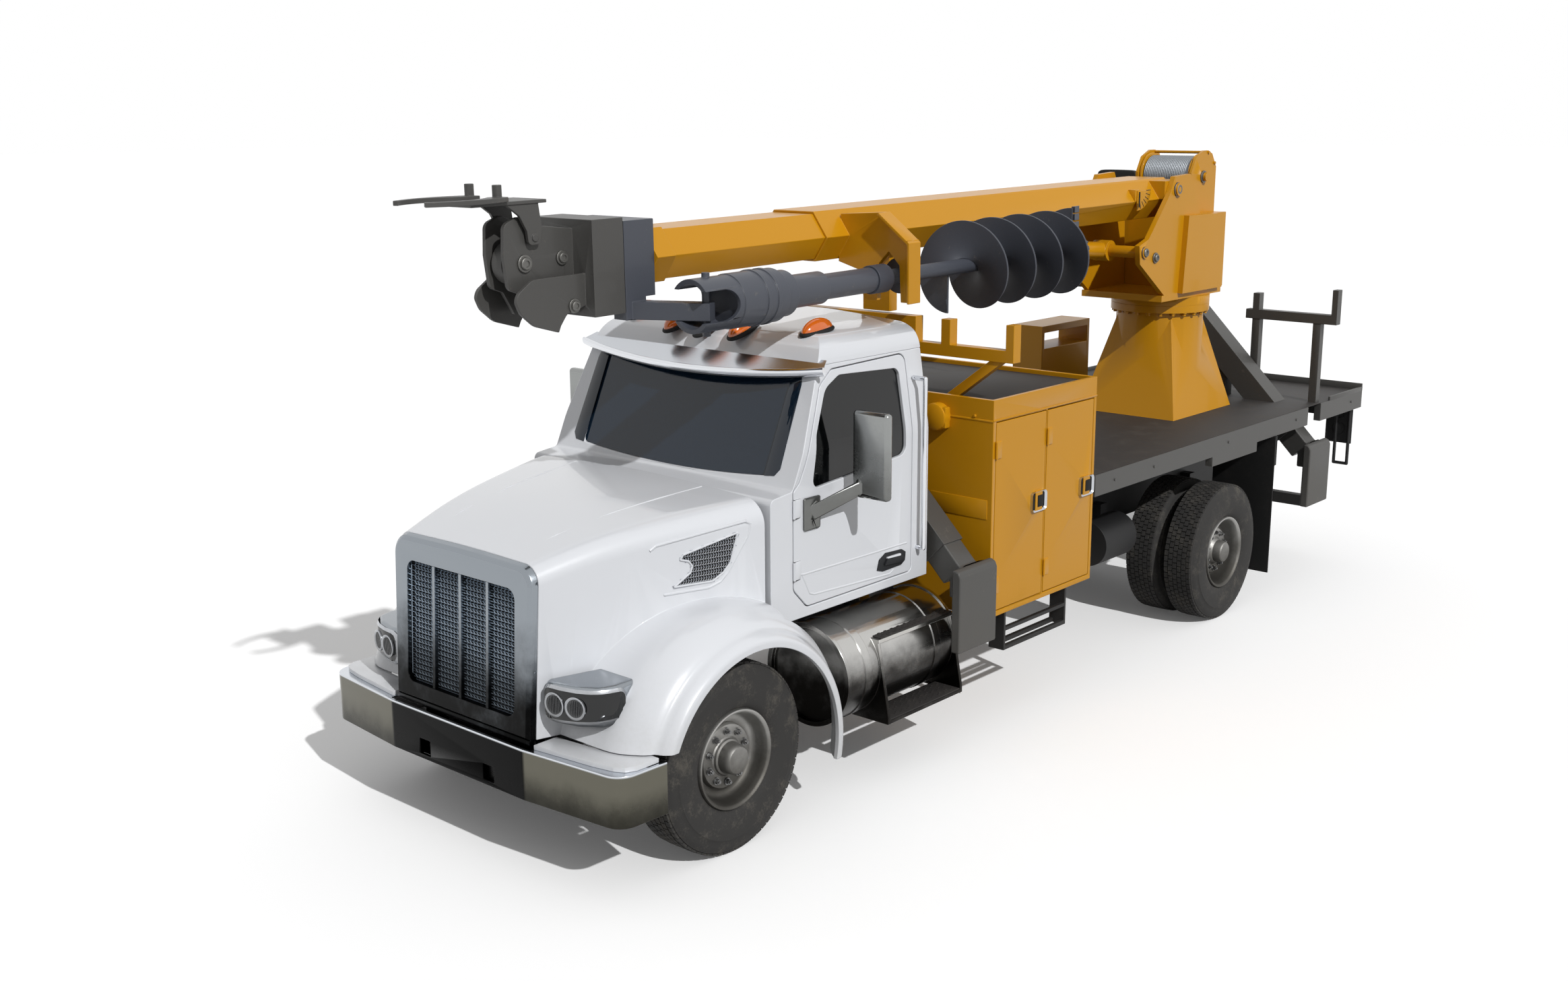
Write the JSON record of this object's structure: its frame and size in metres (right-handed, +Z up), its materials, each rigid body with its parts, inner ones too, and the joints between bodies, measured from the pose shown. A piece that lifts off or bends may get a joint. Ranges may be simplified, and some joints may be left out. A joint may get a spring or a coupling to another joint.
{
  "type": "digger derrick truck",
  "caption": "Conventional-cab utility truck with a flatbed, a slewing telescopic digger boom carrying an earth auger, leaning outriggers and tool cabinets.",
  "frame": {"origin": "middle of the footprint on the ground", "axes": "+X to the front of the truck, +Y to its left (driver) side, +Z up"},
  "size_m": [9.2932, 2.68, 3.612],
  "materials": {
    "white_paint": "gloss",
    "yellow_paint": "gloss",
    "grey_paint": "satin",
    "chassis_black": "satin",
    "bright": "polished",
    "polished": "polished",
    "glass": "gloss",
    "amber": "gloss",
    "interior": "matte",
    "rubber": "matte",
    "lamp": "gloss",
    "rope_steel": "satin",
    "auger_steel": "worn",
    "tyre": "matte"
  },
  "bodies": {
    "chassis": {"frame_rails": "chassis_black", "powertrain": "chassis_black", "axles": "chassis_black", "front_bumper": "bright", "cab_shell": "white_paint", "cab_roof": "white_paint", "cab_glass": "glass", "cab_brightwork": "bright", "roof_lamps": "amber", "cab_interior": "interior", "fuel_tanks": "polished", "service_cabinet": "yellow_paint", "flatbed": "grey_paint", "pedestal_and_side_box": "yellow_paint", "front_rack": "yellow_paint", "rear_rack": "grey_paint", "mud_flaps": "rubber", "steps_and_tail_plates": "chassis_black", "outrigger_housings": "grey_paint"},
    "hood_unit": {"hood": "white_paint", "headlamps": "lamp", "grille_surround": "bright", "grille_mesh": "chassis_black"},
    "turret_unit": {"turret": "yellow_paint", "operator_station": "chassis_black"},
    "winch_drum_unit": {"winch_drum": "rope_steel"},
    "lift_barrel_unit": {"lift_barrel": "yellow_paint"},
    "lift_rod_unit": {"lift_rod": "bright"},
    "boom": {"boom_outer": "yellow_paint", "boom_collar_and_auger_drive": "grey_paint"},
    "boom_tip": {"boom_head": "grey_paint"},
    "pole_guide_unit": {"pole_guide": "grey_paint"},
    "tong_left_unit": {"tong_left": "grey_paint"},
    "tong_right_unit": {"tong_right": "grey_paint"},
    "auger_unit": {"auger": "auger_steel"},
    "door_left_unit": {"door_left": "white_paint", "door_glass_left": "glass", "mirror_left": "bright"},
    "knuckle_left_unit": {"knuckle_left": "chassis_black"},
    "wheel_front_left": {"tyre_front_left": "tyre", "rim_front_left": "polished"},
    "wheel_rear_left": {"tyre_rear_left": "tyre", "rim_rear_left": "polished"},
    "cabinet_door_front_left_unit": {"cabinet_door_front_left": "yellow_paint"},
    "cabinet_door_rear_left_unit": {"cabinet_door_rear_left": "yellow_paint"},
    "leg_front_left": {"outrigger_front_left": "grey_paint"},
    "leg_rear_left": {"outrigger_rear_left": "grey_paint"},
    "door_right_unit": {"door_right": "white_paint", "door_glass_right": "glass", "mirror_right": "bright"},
    "knuckle_right_unit": {"knuckle_right": "chassis_black"},
    "wheel_front_right": {"tyre_front_right": "tyre", "rim_front_right": "polished"},
    "wheel_rear_right": {"tyre_rear_right": "tyre", "rim_rear_right": "polished"},
    "cabinet_door_front_right_unit": {"cabinet_door_front_right": "yellow_paint"},
    "cabinet_door_rear_right_unit": {"cabinet_door_rear_right": "yellow_paint"},
    "leg_front_right": {"outrigger_front_right": "grey_paint"},
    "leg_rear_right": {"outrigger_rear_right": "grey_paint"}
  },
  "joints": [
    {"name": "steer_left", "type": "hinge", "parent": "chassis", "child": "knuckle_left_unit", "pos_m": [3.4, 0.85, 0.54], "axis": [0, 0, 1], "range_deg": [-35, 35]},
    {"name": "wheel_front_left_spin", "type": "hinge", "parent": "knuckle_left_unit", "child": "wheel_front_left", "pos_m": [3.4, 1.03, 0.54], "axis": [0, 1, 0], "continuous": true},
    {"name": "wheel_rear_left_spin", "type": "hinge", "parent": "chassis", "child": "wheel_rear_left", "pos_m": [-2.185, 0.905, 0.54], "axis": [0, 1, 0], "continuous": true},
    {"name": "door_left_open", "type": "hinge", "parent": "chassis", "child": "door_left_unit", "pos_m": [2.743, 1.009, 1.7], "axis": [0, 0, -1], "range_deg": [0, 70]},
    {"name": "cabinet_door_front_left_open", "type": "hinge", "parent": "chassis", "child": "cabinet_door_front_left_unit", "pos_m": [1.075, 1.229, 1.44], "axis": [0, 0, -1], "range_deg": [0, 100]},
    {"name": "cabinet_door_rear_left_open", "type": "hinge", "parent": "chassis", "child": "cabinet_door_rear_left_unit", "pos_m": [0.49, 1.229, 1.44], "axis": [0, 0, -1], "range_deg": [0, 100]},
    {"name": "outrigger_front_left_extend", "type": "slide", "parent": "chassis", "child": "leg_front_left", "axis": [0, 0.7071, -0.7071], "range_m": [0, 0.93]},
    {"name": "outrigger_rear_left_extend", "type": "slide", "parent": "chassis", "child": "leg_rear_left", "axis": [0, 0.7071, -0.7071], "range_m": [0, 0.93]},
    {"name": "steer_right", "type": "hinge", "parent": "chassis", "child": "knuckle_right_unit", "pos_m": [3.4, -0.85, 0.54], "axis": [0, 0, 1], "range_deg": [-35, 35]},
    {"name": "wheel_front_right_spin", "type": "hinge", "parent": "knuckle_right_unit", "child": "wheel_front_right", "pos_m": [3.4, -1.03, 0.54], "axis": [0, 1, 0], "continuous": true},
    {"name": "wheel_rear_right_spin", "type": "hinge", "parent": "chassis", "child": "wheel_rear_right", "pos_m": [-2.185, -0.905, 0.54], "axis": [0, 1, 0], "continuous": true},
    {"name": "door_right_open", "type": "hinge", "parent": "chassis", "child": "door_right_unit", "pos_m": [2.743, -1.009, 1.7], "axis": [0, 0, 1], "range_deg": [0, 70]},
    {"name": "cabinet_door_front_right_open", "type": "hinge", "parent": "chassis", "child": "cabinet_door_front_right_unit", "pos_m": [1.075, -1.229, 1.44], "axis": [0, 0, 1], "range_deg": [0, 100]},
    {"name": "cabinet_door_rear_right_open", "type": "hinge", "parent": "chassis", "child": "cabinet_door_rear_right_unit", "pos_m": [0.49, -1.229, 1.44], "axis": [0, 0, 1], "range_deg": [0, 100]},
    {"name": "outrigger_front_right_extend", "type": "slide", "parent": "chassis", "child": "leg_front_right", "axis": [0, -0.7071, -0.7071], "range_m": [0, 0.93]},
    {"name": "outrigger_rear_right_extend", "type": "slide", "parent": "chassis", "child": "leg_rear_right", "axis": [0, -0.7071, -0.7071], "range_m": [0, 0.93]},
    {"name": "hood_tilt", "type": "hinge", "parent": "chassis", "child": "hood_unit", "pos_m": [4.28, 0, 0.785], "axis": [0, 1, 0], "range_deg": [0, 60]},
    {"name": "turret_slew", "type": "hinge", "parent": "chassis", "child": "turret_unit", "pos_m": [-2.736, 0.23, 2.4], "axis": [0, 0, 1], "continuous": true},
    {"name": "boom_lift", "type": "hinge", "parent": "turret_unit", "child": "boom", "pos_m": [-2.268, 0.23, 3.333], "axis": [0, -1, 0], "range_deg": [0, 75]},
    {"name": "lift_barrel_swing", "type": "hinge", "parent": "turret_unit", "child": "lift_barrel_unit", "pos_m": [-1.798, 0.23, 2.876], "axis": [0, -1, 0], "range_deg": [0, 77.21]},
    {"name": "lift_rod_extend", "type": "slide", "parent": "lift_barrel_unit", "child": "lift_rod_unit", "axis": [0.9976, 0, 0.0699], "range_m": [0, 0.8018]},
    {"name": "boom_extend", "type": "slide", "parent": "boom", "child": "boom_tip", "axis": [0.9999, 0, -0.0127], "range_m": [0, 2.4]},
    {"name": "auger_spin", "type": "hinge", "parent": "boom", "child": "auger_unit", "pos_m": [0.99584, 0.8, 2.98539], "axis": [0.9999, 0, -0.0127], "continuous": true},
    {"name": "winch_spin", "type": "hinge", "parent": "turret_unit", "child": "winch_drum_unit", "pos_m": [-2.89, 0.23, 3.405], "axis": [0, 1, 0], "continuous": true},
    {"name": "pole_guide_tilt", "type": "hinge", "parent": "boom_tip", "child": "pole_guide_unit", "pos_m": [3.98254, 0.23, 3.33536], "axis": [0, -1, 0], "range_deg": [0, 30]},
    {"name": "tong_left_open", "type": "hinge", "parent": "pole_guide_unit", "child": "tong_left_unit", "pos_m": [4.20294, 0.34, 3.52257], "axis": [0.0127, 0, 0.9999], "range_deg": [0, 25]},
    {"name": "tong_right_open", "type": "hinge", "parent": "pole_guide_unit", "child": "tong_right_unit", "pos_m": [4.20294, 0.12, 3.52257], "axis": [-0.0127, 0, -0.9999], "range_deg": [0, 25]}
  ],
  "couplings": [
    {"joint": "steer_right", "follows": "steer_left", "ratio": 1},
    {"joint": "lift_barrel_swing", "follows": "boom_lift", "ratio": 1.0229},
    {"joint": "lift_rod_extend", "follows": "boom_lift", "m_per_rad": 0.60871},
    {"joint": "tong_right_open", "follows": "tong_left_open", "ratio": 1}
  ]
}
